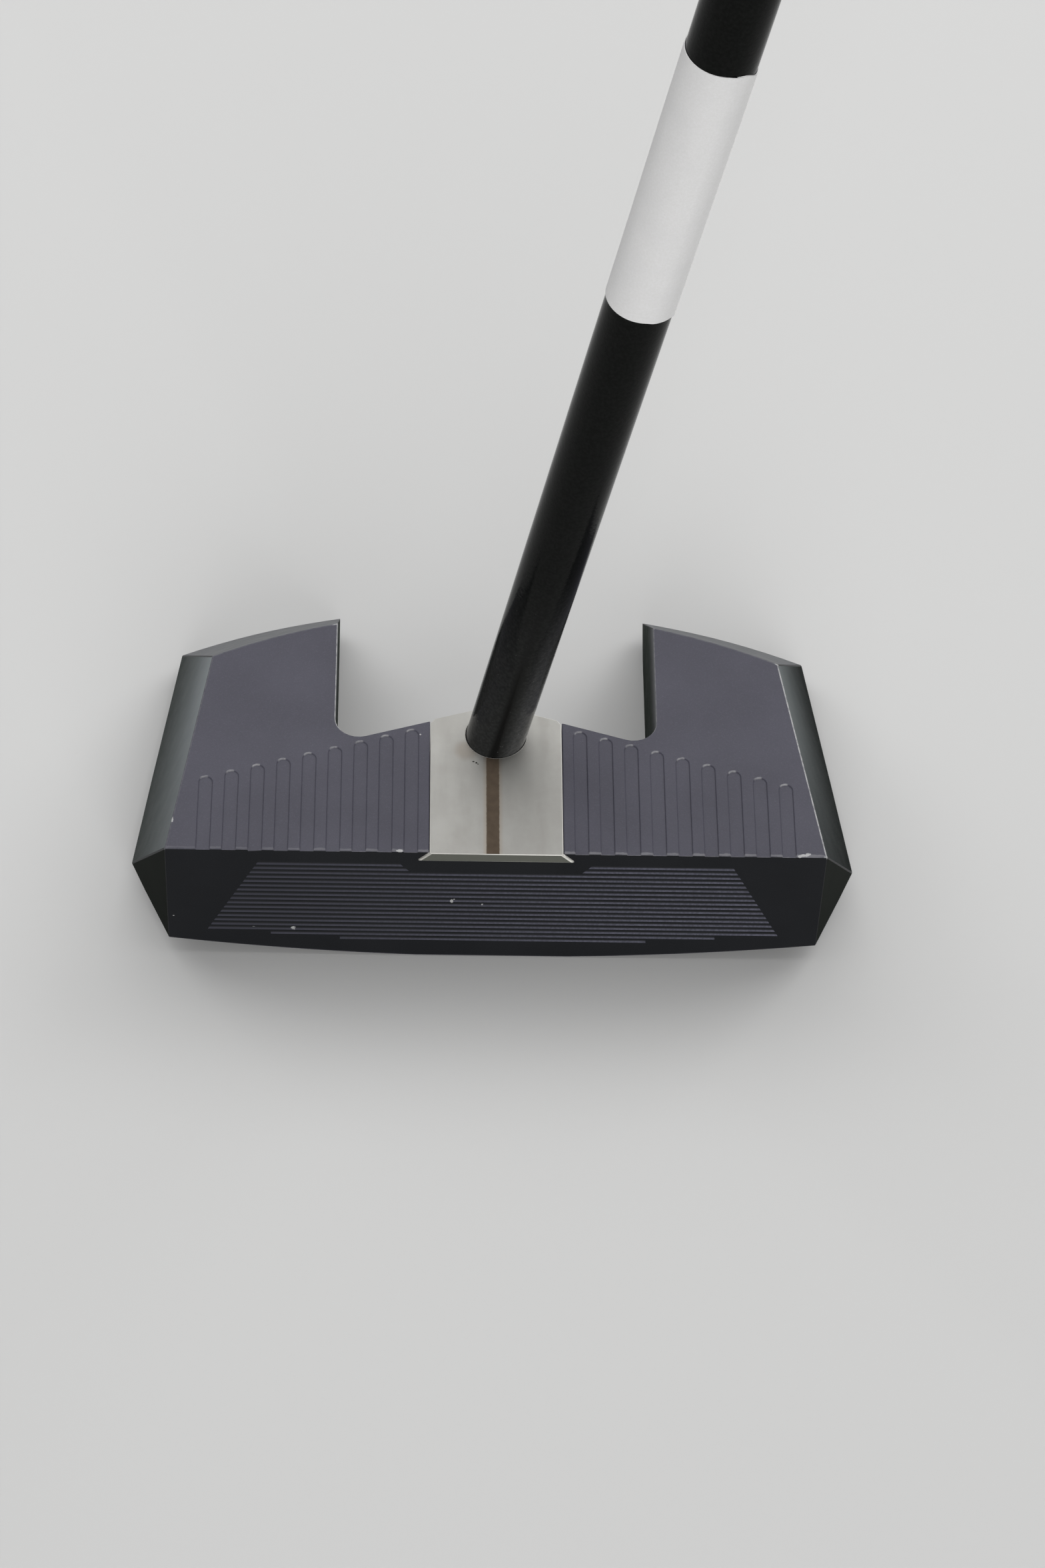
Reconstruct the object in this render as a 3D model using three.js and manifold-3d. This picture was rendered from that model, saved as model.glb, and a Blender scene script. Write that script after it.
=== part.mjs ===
// Mallet putter, right-handed, in millimetres with +Z up.
// The origin lies on the sole, straight below the point where the shaft enters the head.
// +X points to the heel, -Y is the direction in which the face looks.

import * as THREE from 'three';
import { mergeVertices } from 'three/addons/utils/BufferGeometryUtils.js';
import Module from 'manifold-3d';

const wasm = await Module();
wasm.setup();

// Driving dimensions of the head
const headHeight = 26.5;
const faceSetback = 23.6;            // from the shaft's entry forward to the face plane
const crownFrontHalf = 51;           // half width of the flat top along the face
const crownRearHalf = 45.05;         // half width of the flat top at its rear outer corners
const crownRearDepth = 39.1;         // face to the rear outer corners of the flat top
const tailDepth = 46.4;              // face to the inner rear corners of the wings
const tailArcRadius = 100;           // plan radius of the rear edge of each wing
const sideFlare = 0.405;             // how far the sides lean out for each unit of height down
const tailFlare = 0.9;               // the same at the rear of the wings
const cornerFacetSlope = 2.05;       // how fast the upright facet beside the face falls back
const soleFlatHalf = 12;
const soleCamberRadius = 330;
const soleSideStart = 51;            // from here outwards the sole turns up more sharply
const soleSideRadius = 25;
const soleTailStart = 56.5;          // face to where the sole turns up towards the rear
const soleTailRadius = 25;

// Driving dimensions of the rear notch
const notchHalf = 25.3;
const notchSlope = 0.315;            // rise of the notch floor towards the centre
const notchFilletRadius = 3.7;
const notchFloorDepth = 26.3;        // face to the notch floor beside the centre block

// Driving dimensions of the slots in the flat top
const slotPitch = 4;
const slotWidth = 2.08;
const slotDepth = 0.2;
const slotOffset = 2.9;              // side of the block to the middle of the first slot
const slotSideMargin = 5.5;          // least distance from a slot's middle to the side of the top
const slotRearMargin = 0.94;         // rear end of each slot to the line of the notch floor

// Driving dimensions of the milled face
const groovePitch = 1.095;
const grooveOpening = 0.72;
const grooveDepth = 0.34;
const firstGrooveDrop = 3.37;        // flat top down to the first groove
const lastGrooveRise = 4.5;          // sole up to the last groove
const grooveSideMargin = 14.1;       // side of the top to the end of the first groove
const grooveFieldSlope = 0.473;      // how fast the field widens on the way down
const grooveGapMargin = 4.3;         // plain stretch beside the block, at the first groove
const grooveGapSlope = 0.8;          // how fast that stretch narrows on the way down
const grooveGapCount = 2;
const shortGrooveShares = [0.755, 0.515];  // the lowest grooves, as shares of the field's width

// Driving dimensions of the centre block
const blockHalf = 10.3;
const blockClearance = 0.08;
const blockTailProud = 0.25;
const blockCornerCut = 0.7;
const floorThickness = 4.5;
const frontWall = 3;
const ledgeDrop = 1.8;
const lipProud = 0.35;
const lipFlare = 1.75;

// Driving dimensions of the screws that hold the block
const screwInset = 4.3;              // side of the block to the middle of a screw
const screwSetback = 3.5;            // front wall to the middle of the first row
const screwRowPitch = 8;
const screwRows = 2;
const screwRadius = 2;
const screwHeadRadius = 3.5;
const screwHeadHeight = 2.2;
const screwReach = 7.5;              // thread in the block
const screwSocketAcross = 2.5;
const screwSocketDepth = 1.3;
const screwClearance = 0.15;
const headRecess = 0.25;             // heads and weights lie this far inside the sole

// Driving dimensions of the sole weights
const weightRadius = 4.5;
const weightHeight = 8;
const weightClearance = 0.12;
const weightSocketAcross = 3;
const weightSocketDepth = 2.6;
const weightChamfer = 0.5;
const weightPitch = 13;
const firstWeightDepth = 8;          // face to the middle of the first weight
const weightsPerWing = 4;

// Driving dimensions of the shaft and what is on it
const shaftLean = THREE.MathUtils.degToRad(10.5);   // from upright towards the heel
const clubLength = 889;
const shaftInsertion = 13;
const shaftTipRadius = 4.6;
const shaftButtRadius = 7.6;
const shaftWall = 0.9;
const boreClearance = 0.13;
const seatGap = 0.3;
const plugLength = 9;
const plugClearance = 0.15;
const labelStart = 98.1;             // along the shaft from the flat top
const labelEnd = 144.9;
const labelThickness = 0.16;
const wrapClearance = 0.1;

// Driving dimensions of the grip
const gripLength = 267;
const gripButtRadius = 15.6;
const gripMouthRadius = 12.4;
const gripFlatShare = 0.8;           // the flat thumb side lies this share of the radius out
const gripSkinThickness = 1.3;
const tapeThickness = 0.4;
const tapeInset = 4;
const capHeight = 4.2;
const capCrownShare = 0.86;
const ventRadius = 1;

// Fineness of the curved shapes
const tailSteps = 10;
const filletSteps = 8;
const camberSteps = 12;
const soleTailSteps = 6;
const slotEndSteps = 8;
const tubeSegments = 48;
const fastenerSegments = 32;
const gripSteps = 8;
const hexSides = 6;

// How far every cutting form runs past what it cuts
const cutOverrun = 2;

// Sizes that follow from the driving dimensions
const faceY = -faceSetback;
const sideSlope = (crownFrontHalf - crownRearHalf) / crownRearDepth;
const firstSlotX = blockHalf + slotOffset;
const slotCount = 1 + Math.floor((crownFrontHalf - slotSideMargin - firstSlotX) / slotPitch);
const firstGrooveZ = headHeight - firstGrooveDrop;
const grooveSpan = firstGrooveZ - lastGrooveRise;
const grooveCount = 1 + Math.floor(grooveSpan / groovePitch);
const boreRadius = shaftTipRadius + boreClearance;
const headHalfSpan = crownFrontHalf + sideFlare * headHeight + cutOverrun;
const headBackY = faceY + tailDepth + tailFlare * headHeight + cutOverrun;
const shaftAxisToGround = headHeight / Math.cos(shaftLean);
const gripEnd = clubLength - shaftAxisToGround;
const shaftEnd = gripEnd - capHeight - seatGap;
const shaftLength = shaftEnd + shaftInsertion;
const gripStart = gripEnd - gripLength;
const gripTop = gripEnd - capHeight - seatGap;

function material(color, roughness, metalness) {
  return new THREE.MeshStandardMaterial({ color, roughness, metalness });
}

const anodised = material(0x4c4b52, 0.55, 0.6);
const stainless = material(0xa7a49c, 0.38, 1);
const blackSteel = material(0x2a2a2c, 0.35, 0.9);
const tungsten = material(0x77777a, 0.45, 1);
const blackPaint = material(0x1c1d1e, 0.4, 0.2);
const corkRubber = material(0x3a322b, 0.9, 0);
const paper = material(0xe2e1e0, 0.8, 0);
const clothTape = material(0xcfc7b4, 0.9, 0);
const foam = material(0x26282b, 0.95, 0);
const gripSkin = material(0x1f2023, 0.8, 0);

// A solid from any closed geometry, with its shared corners merged.
function solidOf(geometry) {
  geometry.deleteAttribute('normal');
  geometry.deleteAttribute('uv');
  const merged = mergeVertices(geometry);
  return new wasm.Manifold(new wasm.Mesh({
    numProp: 3,
    vertProperties: merged.attributes.position.array,
    triVerts: new Uint32Array(merged.index.array),
  }));
}

function geometryOf(solid) {
  const mesh = solid.getMesh();
  const geometry = new THREE.BufferGeometry();
  geometry.setAttribute('position', new THREE.BufferAttribute(mesh.vertProperties, 3));
  geometry.setIndex(new THREE.BufferAttribute(mesh.triVerts, 1));
  geometry.computeVertexNormals();
  return geometry;
}

function outlineShape(points) {
  return new THREE.Shape(points.map(([x, y]) => new THREE.Vector2(x, y)));
}

// An outline in plan, raised from one height to another.
function upright(points, low, high) {
  const geometry = new THREE.ExtrudeGeometry(outlineShape(points), {
    depth: high - low,
    bevelEnabled: false,
  });
  geometry.translate(0, 0, low);
  return solidOf(geometry);
}

// An outline seen from the front, as (x, z), carried from the near y to the far y.
function crosswise(points, near, far) {
  const geometry = new THREE.ExtrudeGeometry(outlineShape(points), {
    depth: far - near,
    bevelEnabled: false,
  });
  geometry.rotateX(Math.PI / 2);
  geometry.translate(0, far, 0);
  return solidOf(geometry);
}

// An outline seen from the heel, as (y, z), carried from the left x to the right x.
function lengthwise(points, left, right) {
  const geometry = new THREE.ExtrudeGeometry(outlineShape(points), {
    depth: right - left,
    bevelEnabled: false,
  });
  geometry.rotateX(Math.PI / 2);
  geometry.rotateZ(Math.PI / 2);
  geometry.translate(left, 0, 0);
  return solidOf(geometry);
}

// A round solid about the Z axis from a closed profile of (radius, z) pairs.
function turned(profile, segments) {
  const points = profile.map(([radius, z]) => new THREE.Vector2(radius, z));
  points.push(points[0].clone());
  const geometry = new THREE.LatheGeometry(points, segments);
  geometry.rotateX(Math.PI / 2);
  return solidOf(geometry);
}

function rod(radius, low, high, segments) {
  return turned([[0, low], [radius, low], [radius, high], [0, high]], segments);
}

function hexRod(across, low, high) {
  const corner = across / 2 / Math.cos(Math.PI / hexSides);
  return rod(corner, low, high, hexSides);
}

function mirrored(points) {
  return points.map(([x, y]) => [-x, y]).reverse();
}

// Each edge of a convex outline moved out by its own distance and met with its neighbours.
function offsetOutline(points, distances) {
  const lines = points.map((start, i) => {
    const end = points[(i + 1) % points.length];
    const length = Math.hypot(end[0] - start[0], end[1] - start[1]);
    const along = [(end[0] - start[0]) / length, (end[1] - start[1]) / length];
    const moved = [start[0] + along[1] * distances[i], start[1] - along[0] * distances[i]];
    return { moved, along };
  });
  return lines.map((line, i) => {
    const previous = lines[(i + lines.length - 1) % lines.length];
    const cross = previous.along[0] * line.along[1] - previous.along[1] * line.along[0];
    const dx = line.moved[0] - previous.moved[0];
    const dy = line.moved[1] - previous.moved[1];
    const t = (dx * line.along[1] - dy * line.along[0]) / cross;
    return [previous.moved[0] + previous.along[0] * t, previous.moved[1] + previous.along[1] * t];
  });
}

// A convex solid through a stack of outlines with equal numbers of points, lowest first.
function stacked(rings) {
  const count = rings[0].points.length;
  const positions = rings.flatMap(({ points, z }) => points.flatMap(([x, y]) => [x, y, z]));
  const index = [];
  rings.slice(1).forEach((ring, level) => {
    for (let i = 0; i < count; i += 1) {
      const next = (i + 1) % count;
      const low = level * count;
      const high = low + count;
      index.push(low + i, low + next, high + next);
      index.push(low + i, high + next, high + i);
    }
  });
  const last = (rings.length - 1) * count;
  for (let i = 1; i < count - 1; i += 1) {
    index.push(0, i + 1, i);
    index.push(last, last + i, last + i + 1);
  }
  const geometry = new THREE.BufferGeometry();
  geometry.setAttribute('position', new THREE.Float32BufferAttribute(positions, 3));
  geometry.setIndex(index);
  return solidOf(geometry);
}

// The rear edge of one wing in plan: an arc from the outer corner on past the notch wall.
function tailArc() {
  const corner = new THREE.Vector2(crownRearHalf, faceY + crownRearDepth);
  const inner = new THREE.Vector2(notchHalf, faceY + tailDepth);
  const chord = inner.clone().sub(corner);
  const middle = corner.clone().add(inner).multiplyScalar(1 / 2);
  const rise = Math.sqrt(tailArcRadius ** 2 - chord.lengthSq() / 4);
  const towards = new THREE.Vector2(chord.y, -chord.x).normalize();
  const centre = middle.sub(towards.multiplyScalar(rise));
  const start = corner.clone().sub(centre).angle();
  const sweep = inner.clone().sub(centre).angle() - start;
  const overrunShare = 1.25;
  return Array.from({ length: tailSteps + 1 }, (_, i) => {
    const angle = start + (sweep * overrunShare * i) / tailSteps;
    return [centre.x + tailArcRadius * Math.cos(angle), centre.y + tailArcRadius * Math.sin(angle)];
  });
}

// The outer form of the head: a flat top from which the sides and the rear lean out to the sole.
function headBlank() {
  const front = [crownFrontHalf + sideSlope * cutOverrun, faceY - cutOverrun];
  const half = [front, ...tailArc()];
  const outline = [...half, ...mirrored(half)];
  const last = outline.length - 1;
  const ringAt = (z) => {
    const down = headHeight - z;
    const distances = outline.map(() => tailFlare * down);
    distances[0] = sideFlare * down;
    distances[last - 1] = sideFlare * down;
    distances[last] = 0;
    return { points: offsetOutline(outline, distances), z };
  };
  return stacked([ringAt(0), ringAt(headHeight)]);
}

// Everything behind the flat face plane and its two corner facets.
function faceTrim() {
  const fall = (headHalfSpan - crownFrontHalf) * cornerFacetSlope;
  const half = [[crownFrontHalf, faceY], [headHalfSpan, faceY + fall], [headHalfSpan, headBackY]];
  return upright([...half, ...mirrored(half)], -cutOverrun, headHeight + cutOverrun);
}

// How far a circle has left its tangent at a distance from where it touches it.
function arcRise(radius, distance) {
  return radius - Math.sqrt(radius ** 2 - Math.max(0, distance) ** 2);
}

// The sole's rise above its flat middle at a distance x from the centre.
function soleHeight(x) {
  const reach = Math.max(soleFlatHalf, Math.abs(x));
  const camber = arcRise(soleCamberRadius, reach) - arcRise(soleCamberRadius, soleFlatHalf);
  return camber + arcRise(soleSideRadius, reach - soleSideStart);
}

// Everything above the sole, which is flat in the middle and turns up to its sides and its rear.
function soleTrim() {
  const half = Array.from({ length: camberSteps + 1 }, (_, i) => {
    const x = soleFlatHalf + ((headHalfSpan - soleFlatHalf) * i) / camberSteps;
    return [x, soleHeight(x)];
  });
  half.push([headHalfSpan, headHeight + cutOverrun]);
  const across = crosswise([...half, ...mirrored(half)], faceY - cutOverrun, headBackY);
  const tailY = faceY + soleTailStart;
  const tail = Array.from({ length: soleTailSteps + 1 }, (_, i) => {
    const back = ((headBackY - tailY) * i) / soleTailSteps;
    return [tailY + back, arcRise(soleTailRadius, back)];
  });
  const along = [
    [faceY - cutOverrun, -cutOverrun],
    [tailY, -cutOverrun],
    ...tail,
    [headBackY, headHeight + cutOverrun],
    [faceY - cutOverrun, headHeight + cutOverrun],
  ];
  return across.intersect(lengthwise(along, -headHalfSpan, headHalfSpan));
}

// The notch floor at a distance x from the middle, measured as y.
function notchFloor(x) {
  return faceY + notchFloorDepth - (Math.abs(x) - blockHalf) * notchSlope;
}

// Half the width of the flat top at a distance y from the shaft's entry.
function crownHalf(y) {
  return crownFrontHalf - sideSlope * (y - faceY);
}

function notchCut() {
  const lean = Math.atan(notchSlope);
  const centreX = notchHalf - notchFilletRadius;
  const centreY = notchFloor(centreX) + notchFilletRadius / Math.cos(lean);
  const fillet = Array.from({ length: filletSteps + 1 }, (_, i) => {
    const angle = -Math.PI / 2 - lean + ((Math.PI / 2 + lean) * i) / filletSteps;
    return [
      centreX + notchFilletRadius * Math.cos(angle),
      centreY + notchFilletRadius * Math.sin(angle),
    ];
  });
  const half = [...fillet, [notchHalf, headBackY]];
  const floorEnd = [0, notchFloor(0)];
  return upright([floorEnd, ...half, ...mirrored(half)], -cutOverrun, headHeight + cutOverrun);
}

function slotCut(x) {
  const radius = slotWidth / 2;
  const endY = notchFloor(x) - slotRearMargin - radius;
  const end = Array.from({ length: slotEndSteps + 1 }, (_, i) => {
    const angle = (Math.PI * i) / slotEndSteps;
    return [x + radius * Math.cos(angle), endY + radius * Math.sin(angle)];
  });
  const outline = [[x - radius, faceY - cutOverrun], [x + radius, faceY - cutOverrun], ...end];
  return upright(outline, headHeight - slotDepth, headHeight + cutOverrun);
}

function slotCuts() {
  return [-1, 1].flatMap((side) => Array.from(
    { length: slotCount },
    (_, i) => slotCut(side * (firstSlotX + slotPitch * i)),
  ));
}

function grooveCut(z, left, right) {
  const profile = [
    [faceY - grooveDepth, z - grooveOpening],
    [faceY + grooveDepth, z],
    [faceY - grooveDepth, z + grooveOpening],
  ];
  return lengthwise(profile, left, right);
}

// Half the width of the milled field at a height z.
function grooveHalf(z) {
  return crownFrontHalf - grooveSideMargin + (firstGrooveZ - z) * grooveFieldSlope;
}

// The outline of the milled field in (x, z): it widens downwards and is notched under the lip.
function grooveField() {
  const gapAt = (z) => blockHalf + grooveGapMargin - (firstGrooveZ - z) * grooveGapSlope;
  const top = firstGrooveZ + groovePitch;
  const gapLow = firstGrooveZ - groovePitch * (grooveGapCount - 1 / 2);
  return [[grooveHalf(0), 0], [grooveHalf(top), top], [gapAt(top), top], [gapAt(gapLow), gapLow]];
}

// Fine milled lines across the face, cut off by the sides of their field.
function grooveCuts() {
  const fullCount = grooveCount - shortGrooveShares.length;
  const lines = Array.from({ length: grooveCount }, (_, i) => {
    const z = firstGrooveZ - groovePitch * i;
    const share = i < fullCount ? 1 : shortGrooveShares[i - fullCount];
    const half = (grooveHalf(z) + groovePitch) * share;
    return grooveCut(z, -half, half);
  });
  const field = grooveField();
  const within = crosswise([...field, ...mirrored(field)], faceY - cutOverrun, faceY + cutOverrun);
  return lines.reduce((solid, line) => solid.add(line)).intersect(within);
}

// The pocket for the block, with the low front wall that the block's ledge lies on.
function pocketCut() {
  const half = blockHalf + blockClearance;
  const box = (near, low) => upright(
    [[-half, near], [half, near], [half, headBackY], [-half, headBackY]],
    low,
    headHeight + cutOverrun,
  );
  const deep = box(faceY + frontWall, floorThickness);
  return deep.add(box(faceY - cutOverrun, headHeight - ledgeDrop - blockClearance));
}

// A row of weights along the middle of the sole of each wing.
function weightPlaces() {
  const row = Array.from({ length: weightsPerWing }, (_, i) => {
    const y = faceY + firstWeightDepth + weightPitch * i;
    return [(notchHalf + crownHalf(y) + sideFlare * headHeight) / 2, y];
  });
  return [['toe', -1], ['heel', 1]].flatMap(([name, side]) => row.map(([x, y], i) => ({
    name: `sole_weight_${name}_${i + 1}`,
    x: side * x,
    y,
    low: soleHeight(x + weightRadius) + headRecess,
  })));
}

function screwPlaces() {
  return Array.from({ length: screwRows }, (_, row) => [-1, 1].map((side, column) => ({
    name: `block_screw_${row * 2 + column + 1}`,
    x: side * (blockHalf - screwInset),
    y: faceY + frontWall + screwSetback + screwRowPitch * row,
  }))).flat();
}

function headBody() {
  const trimmed = headBlank().intersect(faceTrim()).intersect(soleTrim());
  const cuts = [notchCut(), pocketCut(), ...slotCuts(), grooveCuts()];
  weightPlaces().forEach(({ x, y, low }) => {
    const bore = rod(weightRadius + weightClearance, -cutOverrun, low + weightHeight, fastenerSegments);
    cuts.push(bore.translate([x, y, 0]));
  });
  screwPlaces().forEach(({ x, y }) => {
    const seat = headRecess + screwHeadHeight;
    const wide = rod(screwHeadRadius + screwClearance, -cutOverrun, seat, fastenerSegments);
    const narrow = rod(screwRadius + screwClearance, 0, floorThickness + cutOverrun, fastenerSegments);
    cuts.push(wide.add(narrow).translate([x, y, 0]));
  });
  return cuts.reduce((solid, cut) => solid.subtract(cut), trimmed);
}

function shaftRadius(t) {
  const share = (t + shaftInsertion) / shaftLength;
  return shaftTipRadius + (shaftButtRadius - shaftTipRadius) * share;
}

// Places a solid made about the Z axis on the leaning shaft, with z as the way along it.
function onShaft(solid) {
  const turn = THREE.MathUtils.radToDeg(shaftLean);
  return solid.rotate([0, turn, 0]).translate([0, 0, headHeight]);
}

// The steel block: a full-height body, a ledge over the front wall and a lip before the face.
function centreBlock() {
  const bodyFront = faceY + frontWall + blockClearance;
  const cornerY = notchFloor(blockHalf) + blockTailProud - blockCornerCut;
  const tail = [
    [blockHalf, cornerY],
    [blockHalf - blockCornerCut, notchFloor(blockHalf - blockCornerCut) + blockTailProud],
    [0, notchFloor(0) + blockTailProud],
  ];
  const half = [[blockHalf, bodyFront], ...tail];
  const body = upright([...half, ...mirrored(half).slice(1)], floorThickness, headHeight);
  const low = headHeight - ledgeDrop;
  const ledgeOutline = [
    [-blockHalf, faceY - lipProud],
    [blockHalf, faceY - lipProud],
    [blockHalf, bodyFront + frontWall],
    [-blockHalf, bodyFront + frontWall],
  ];
  const lipOutline = [
    [-blockHalf - lipFlare, low],
    [blockHalf + lipFlare, low],
    [blockHalf, headHeight],
    [-blockHalf, headHeight],
  ];
  const lip = crosswise(lipOutline, faceY - lipProud, faceY);
  const bore = onShaft(rod(boreRadius, -shaftInsertion - seatGap, shaftInsertion, tubeSegments));
  const whole = body.add(upright(ledgeOutline, low, headHeight)).add(lip).subtract(bore);
  return screwPlaces().reduce((solid, { x, y }) => {
    const hole = rod(screwRadius + screwClearance, 0, floorThickness + screwReach + seatGap, fastenerSegments);
    return solid.subtract(hole.translate([x, y, 0]));
  }, whole);
}

function blockScrew() {
  const low = headRecess;
  const seat = low + screwHeadHeight - screwClearance;
  const profile = [
    [0, low],
    [screwHeadRadius, low],
    [screwHeadRadius, seat],
    [screwRadius, seat],
    [screwRadius, floorThickness + screwReach],
    [0, floorThickness + screwReach],
  ];
  const socket = hexRod(screwSocketAcross, -cutOverrun, low + screwSocketDepth);
  return turned(profile, fastenerSegments).subtract(socket);
}

function soleWeight(low) {
  const high = low + weightHeight - weightClearance;
  const profile = [
    [0, low],
    [weightRadius - weightChamfer, low],
    [weightRadius, low + weightChamfer],
    [weightRadius, high],
    [0, high],
  ];
  const socket = hexRod(weightSocketAcross, -cutOverrun, low + weightSocketDepth);
  return turned(profile, fastenerSegments).subtract(socket);
}

// A sleeve that follows the shaft's taper between two places, from one gap outwards.
function sleeve(start, end, gap, thickness) {
  return turned([
    [shaftRadius(start) + gap, start],
    [shaftRadius(start) + gap + thickness, start],
    [shaftRadius(end) + gap + thickness, end],
    [shaftRadius(end) + gap, end],
  ], tubeSegments);
}

function shaftTube() {
  return turned([
    [shaftTipRadius - shaftWall, -shaftInsertion],
    [shaftTipRadius, -shaftInsertion],
    [shaftButtRadius, shaftEnd],
    [shaftButtRadius - shaftWall, shaftEnd],
  ], tubeSegments);
}

function tipPlug() {
  const radius = shaftTipRadius - shaftWall - plugClearance;
  return rod(radius, -shaftInsertion, plugLength - shaftInsertion, tubeSegments);
}

function gripRadius(t) {
  const share = (t - gripStart) / gripLength;
  return gripMouthRadius + (gripButtRadius - gripMouthRadius) * share;
}

// One ring of the grip: a circle with its toe side cut flat for the thumbs, made smaller by inset.
function gripRing(t, inset) {
  const radius = gripRadius(t);
  return Array.from({ length: tubeSegments }, (_, i) => {
    const angle = (2 * Math.PI * i) / tubeSegments;
    const towardsFlat = Math.max(-Math.cos(angle), gripFlatShare / 2);
    const reach = Math.min(radius - inset, (radius * gripFlatShare - inset) / towardsFlat);
    return [reach * Math.cos(angle), reach * Math.sin(angle)];
  });
}

function gripForm(inset, start, end) {
  return stacked(Array.from({ length: gripSteps + 1 }, (_, i) => {
    const z = start + ((end - start) * i) / gripSteps;
    return { points: gripRing(z, inset), z };
  }));
}

// The outer skin of the grip, open at both ends for the core that it is wrapped on.
function gripShell() {
  const core = gripForm(gripSkinThickness, gripStart - cutOverrun, gripTop + cutOverrun);
  return gripForm(0, gripStart, gripTop).subtract(core);
}

function gripCore() {
  const gap = wrapClearance + tapeThickness + wrapClearance;
  const bore = turned([
    [0, gripStart - cutOverrun],
    [shaftRadius(gripStart - cutOverrun) + gap, gripStart - cutOverrun],
    [shaftRadius(gripTop + cutOverrun) + gap, gripTop + cutOverrun],
    [0, gripTop + cutOverrun],
  ], tubeSegments);
  return gripForm(gripSkinThickness + wrapClearance, gripStart, gripTop).subtract(bore);
}

function gripCap() {
  const low = gripEnd - capHeight;
  const crowned = gripRing(gripEnd, 0).map(([x, y]) => [x * capCrownShare, y * capCrownShare]);
  const crownLow = gripEnd - capHeight / 3;
  const blank = stacked([
    { points: gripRing(low, 0), z: low },
    { points: gripRing(crownLow, 0), z: crownLow },
    { points: crowned, z: gripEnd },
  ]);
  return blank.subtract(rod(ventRadius, low - cutOverrun, gripEnd + cutOverrun, fastenerSegments));
}

const group = new THREE.Group();

function addPiece(parent, name, solid, finish, place = [0, 0, 0]) {
  const mesh = new THREE.Mesh(geometryOf(solid), finish);
  mesh.name = name;
  mesh.position.set(...place);
  parent.add(mesh);
}

addPiece(group, 'head_body', headBody(), anodised);
addPiece(group, 'center_block', centreBlock(), stainless);
screwPlaces().forEach(({ name, x, y }) => addPiece(group, name, blockScrew(), blackSteel, [x, y, 0]));
weightPlaces().forEach(({ name, x, y, low }) => {
  addPiece(group, name, soleWeight(low), tungsten, [x, y, 0]);
});

// The shaft and all that is on it lean together about the point where the shaft enters the head.
const shaftGroup = new THREE.Group();
shaftGroup.position.z = headHeight;
shaftGroup.rotation.y = shaftLean;
group.add(shaftGroup);

addPiece(shaftGroup, 'shaft', shaftTube(), blackPaint);
addPiece(shaftGroup, 'shaft_tip_plug', tipPlug(), corkRubber);
addPiece(shaftGroup, 'shaft_label', sleeve(labelStart, labelEnd, wrapClearance, labelThickness), paper);
addPiece(
  shaftGroup,
  'grip_tape',
  sleeve(gripStart + tapeInset, gripTop - tapeInset, wrapClearance, tapeThickness),
  clothTape,
);
addPiece(shaftGroup, 'grip_core', gripCore(), foam);
addPiece(shaftGroup, 'grip_skin', gripShell(), gripSkin);
addPiece(shaftGroup, 'grip_cap', gripCap(), gripSkin);

export default group;
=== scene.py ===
"""Looks of a right-handed mallet putter: a dark blasted head with a bare steel block in its middle,
a black painted shaft with a bare paper label round it, and a soft grip.

Lengths are written in millimetres. MM turns them into metres where they reach a mesh or a finish.
"""

import math

import bmesh
import bpy
import numpy as np
from mathutils import Matrix, Vector

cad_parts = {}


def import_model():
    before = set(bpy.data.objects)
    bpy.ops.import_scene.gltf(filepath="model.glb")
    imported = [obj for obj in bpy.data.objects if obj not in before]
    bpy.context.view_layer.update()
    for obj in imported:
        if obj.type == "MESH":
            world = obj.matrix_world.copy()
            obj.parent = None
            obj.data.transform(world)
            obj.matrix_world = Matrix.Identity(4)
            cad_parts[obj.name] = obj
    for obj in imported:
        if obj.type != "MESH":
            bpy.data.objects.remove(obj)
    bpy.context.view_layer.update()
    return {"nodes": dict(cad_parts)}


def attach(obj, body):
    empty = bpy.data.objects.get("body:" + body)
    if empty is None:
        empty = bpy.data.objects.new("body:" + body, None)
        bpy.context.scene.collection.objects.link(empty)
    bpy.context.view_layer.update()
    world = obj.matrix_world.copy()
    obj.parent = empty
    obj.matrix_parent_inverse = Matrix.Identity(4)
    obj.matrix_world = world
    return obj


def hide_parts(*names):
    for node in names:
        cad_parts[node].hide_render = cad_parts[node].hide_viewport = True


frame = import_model()

MM = 0.001

# Head, as packed: the origin is on the sole, straight below the shaft's entry
HEAD_HEIGHT = 26.5
FACE_Y = -23.6
CROWN_FRONT_HALF = 51
CROWN_REAR_HALF = 45.05
CROWN_REAR_Y = 15.5
CROWN_SLOPE = 0.1522
NOTCH_HALF = 25.3
NOTCH_FLOOR_Y = 2.7
NOTCH_SLOPE = 0.315
BLOCK_HALF = 10.3
SLOT_FIRST_X = 13.2
SLOT_PITCH = 4
SLOT_REAR_MARGIN = 0.94
SLOT_RADIUS = 1.04
SOLE_EDGE_Z = 6
GROOVE_FIRST_Z = 23.13
GROOVE_PITCH = 1.095
GROOVE_BACK_Y = FACE_Y + 0.36    # just behind the roots of the milled lines
MILLED_LOW_Z = 4
MILLED_HIGH_Z = HEAD_HEIGHT - 2.6

# Widths of the rounding, and the least angle of an edge that gets it
HEAD_ROUNDING = 0.45
BLOCK_ROUNDING = 0.32
PLUG_ROUNDING = 0.15
HEAD_ROUNDED_FROM = math.radians(24)
BLOCK_ROUNDED_FROM = math.radians(17)
PLUG_ROUNDED_FROM = math.radians(30)

# Edges are shaded crisp above these angles
PACKED_CRISP = math.radians(28)
PLUG_CRISP = math.radians(30)
SURFACE_CRISP = math.radians(40)
CAP_CRISP = math.radians(50)

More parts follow.
